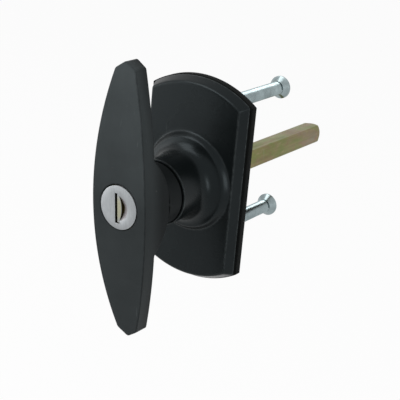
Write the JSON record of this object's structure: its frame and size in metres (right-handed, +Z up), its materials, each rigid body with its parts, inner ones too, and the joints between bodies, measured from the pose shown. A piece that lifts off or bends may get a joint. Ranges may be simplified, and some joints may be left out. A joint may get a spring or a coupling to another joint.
{
  "type": "garage door t handle lock",
  "caption": "T handle lock for a garage door: a bowed bar with a keyed plug turns a square spindle in a rose screwed on from behind.",
  "frame": {"origin": "on the spindle's axis, at the gasket's back face, which lies on the door", "axes": "+Y along the spindle into the door, -Y towards the hand, +Z up"},
  "size_m": [0.0492, 0.1416, 0.1098],
  "materials": {
    "handle_coat": "satin black powder coat on cast zinc",
    "rose_coat": "black powder coat on cast zinc, a little glossier",
    "gasket_rubber": "matt black moulded rubber",
    "seal_rubber": "black nitrile",
    "face_steel": "satin stainless steel",
    "plug_brass": "machined brass",
    "yellow_zinc": "yellow passivated zinc plate with a faint rainbow",
    "bright_zinc": "bright zinc plate",
    "plain_steel": "plain steel",
    "nylon": "black nylon"
  },
  "bodies": {
    "rose_set": {"rose": "rose_coat", "gasket": "gasket_rubber", "neck_bush": "nylon", "thrust_washer": "nylon", "wave_washer": "plain_steel", "fixing_screws": "bright_zinc"},
    "handle_set": {"t_handle": "handle_coat", "lock_barrel": "plug_brass", "barrel_pin": "plain_steel", "stop_pin": "plain_steel", "o_ring": "seal_rubber", "retaining_washer": "plain_steel", "retaining_clip": "plain_steel", "spindle": "yellow_zinc", "spindle_pin": "plain_steel"},
    "plug_set": {"plug": "plug_brass", "plug_face": "face_steel", "plug_clip": "plain_steel", "wafer_springs": "plain_steel", "tailpiece": "plain_steel", "drive_pin": "plain_steel"},
    "bolt": {"locking_bolt": "plain_steel"},
    "wafer_1": {"wafer_1": "plug_brass"},
    "wafer_2": {"wafer_2": "plug_brass"},
    "wafer_3": {"wafer_3": "plug_brass"},
    "wafer_4": {"wafer_4": "plug_brass"},
    "wafer_5": {"wafer_5": "plug_brass"}
  },
  "joints": [
    {"name": "handle_turn", "type": "hinge", "parent": "rose_set", "child": "handle_set", "pos_m": [0, 0, 0], "axis": [0, -1, 0], "range_deg": [-4.6, 85.4]},
    {"name": "plug_turn", "type": "hinge", "parent": "handle_set", "child": "plug_set", "pos_m": [0, 0, 0], "axis": [0, 1, 0], "range_deg": [0, 90]},
    {"name": "bolt_slide", "type": "slide", "parent": "handle_set", "child": "bolt", "axis": [0.9968, 0, 0.0802], "range_m": [0, 0.00311]},
    {"name": "wafer_1_slide", "type": "slide", "parent": "plug_set", "child": "wafer_1", "axis": [-0.0802, 0, 0.9968], "range_m": [0, 0.0009], "stiffness_N_per_m": 50},
    {"name": "wafer_2_slide", "type": "slide", "parent": "plug_set", "child": "wafer_2", "axis": [-0.0802, 0, 0.9968], "range_m": [0, 0.0009], "stiffness_N_per_m": 50},
    {"name": "wafer_3_slide", "type": "slide", "parent": "plug_set", "child": "wafer_3", "axis": [-0.0802, 0, 0.9968], "range_m": [0, 0.0009], "stiffness_N_per_m": 50},
    {"name": "wafer_4_slide", "type": "slide", "parent": "plug_set", "child": "wafer_4", "axis": [-0.0802, 0, 0.9968], "range_m": [0, 0.0009], "stiffness_N_per_m": 50},
    {"name": "wafer_5_slide", "type": "slide", "parent": "plug_set", "child": "wafer_5", "axis": [-0.0802, 0, 0.9968], "range_m": [0, 0.0009], "stiffness_N_per_m": 50}
  ],
  "couplings": [
    {"joint": "bolt_slide", "follows": "plug_turn", "m_per_rad": 0.0019807}
  ]
}
